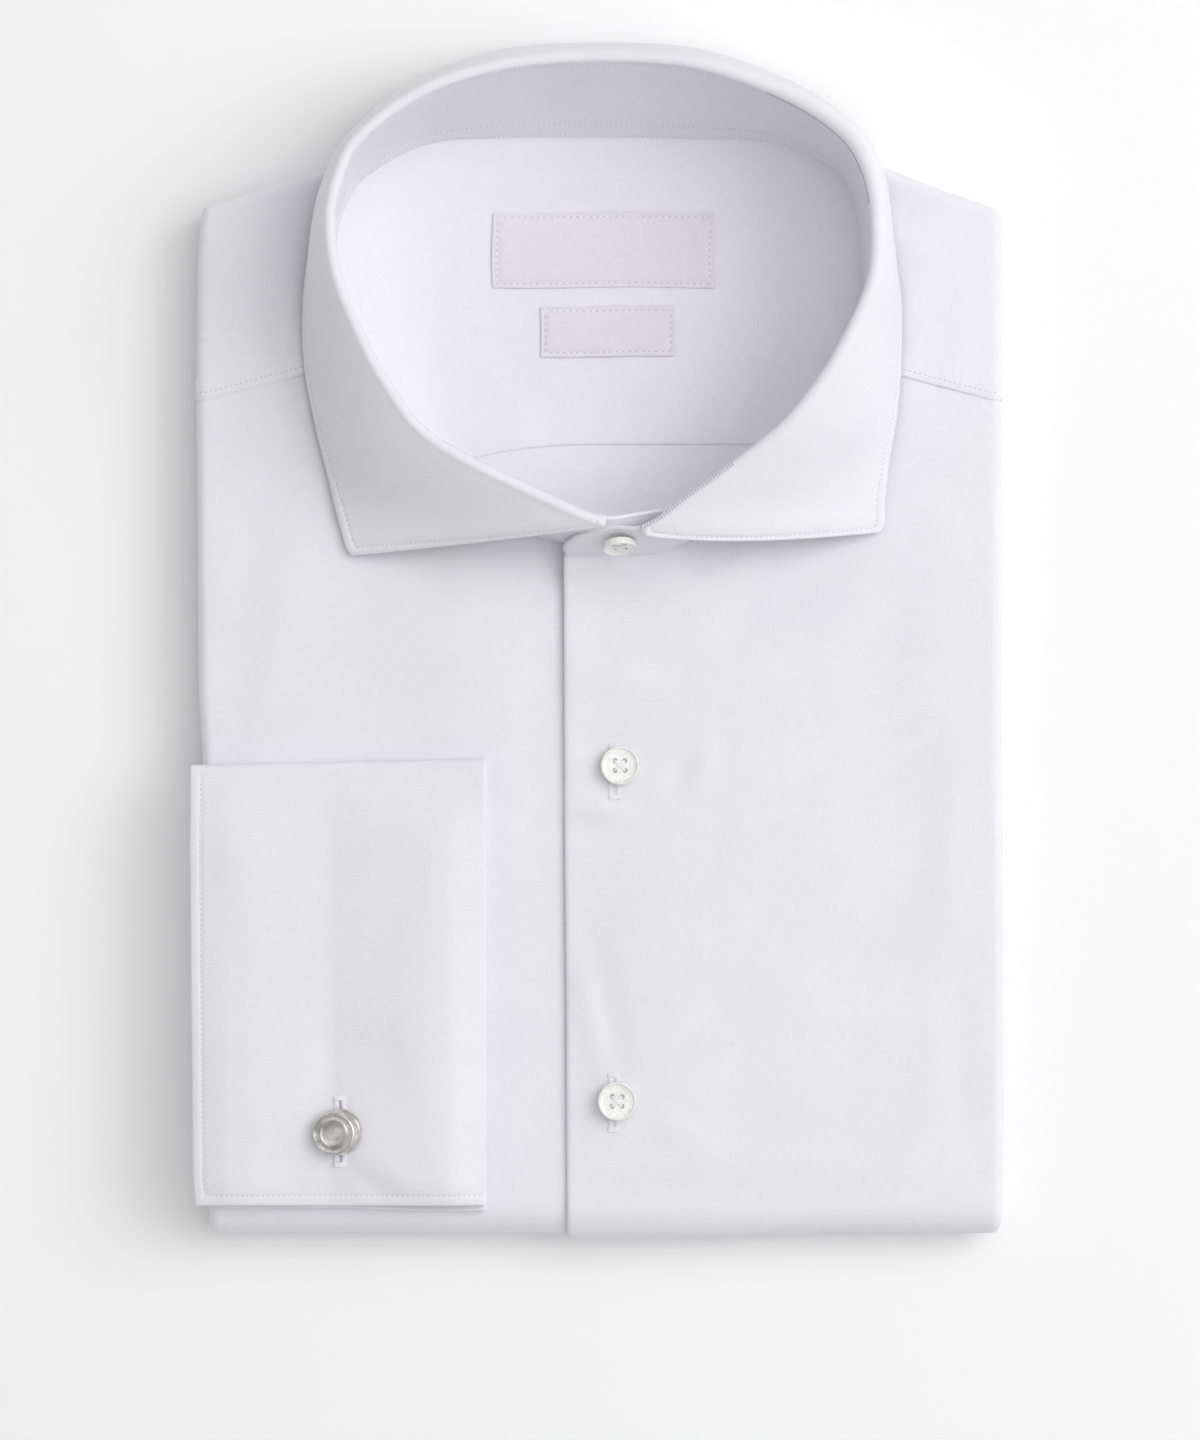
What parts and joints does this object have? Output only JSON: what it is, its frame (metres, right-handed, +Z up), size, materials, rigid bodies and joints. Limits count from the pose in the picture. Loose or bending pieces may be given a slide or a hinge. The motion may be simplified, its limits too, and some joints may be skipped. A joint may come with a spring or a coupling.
{
  "type": "folded long sleeve dress shirt",
  "caption": "Long sleeve dress shirt folded flat for display, with a cutaway collar standing up, a buttoned plain front and a double cuff closed by a link laid on the front.",
  "frame": {"origin": "middle of the shirt's box in plan, on the surface that it lies on", "axes": "+Z up off the surface, +Y towards the collar, +X towards the wearer's left"},
  "size_m": [0.2272, 0.336, 0.0521],
  "materials": {
    "shirting": "white cotton shirting with a faint cool cast",
    "interlined_shirting": "the same white cotton over a fused interlining, edge stitched",
    "label_satin": "bare woven satin label",
    "button": "off-white polyester resin, polished",
    "link_metal": "satin nickel-silver colour, brushed in circles"
  },
  "bodies": {
    "root": {"folded_layers": "shirting", "front_left": "shirting", "front_right": "shirting", "yoke": "shirting", "yoke_lining": "shirting", "back": "shirting", "sleeve": "shirting", "collar_stand": "interlined_shirting", "collar_leaf": "interlined_shirting", "cuff": "interlined_shirting", "label_large": "label_satin", "label_small": "label_satin", "front_button_1": "button", "front_button_2": "button", "collar_button": "button", "cufflink_face": "link_metal", "cufflink_toggle": "link_metal"}
  },
  "joints": []
}
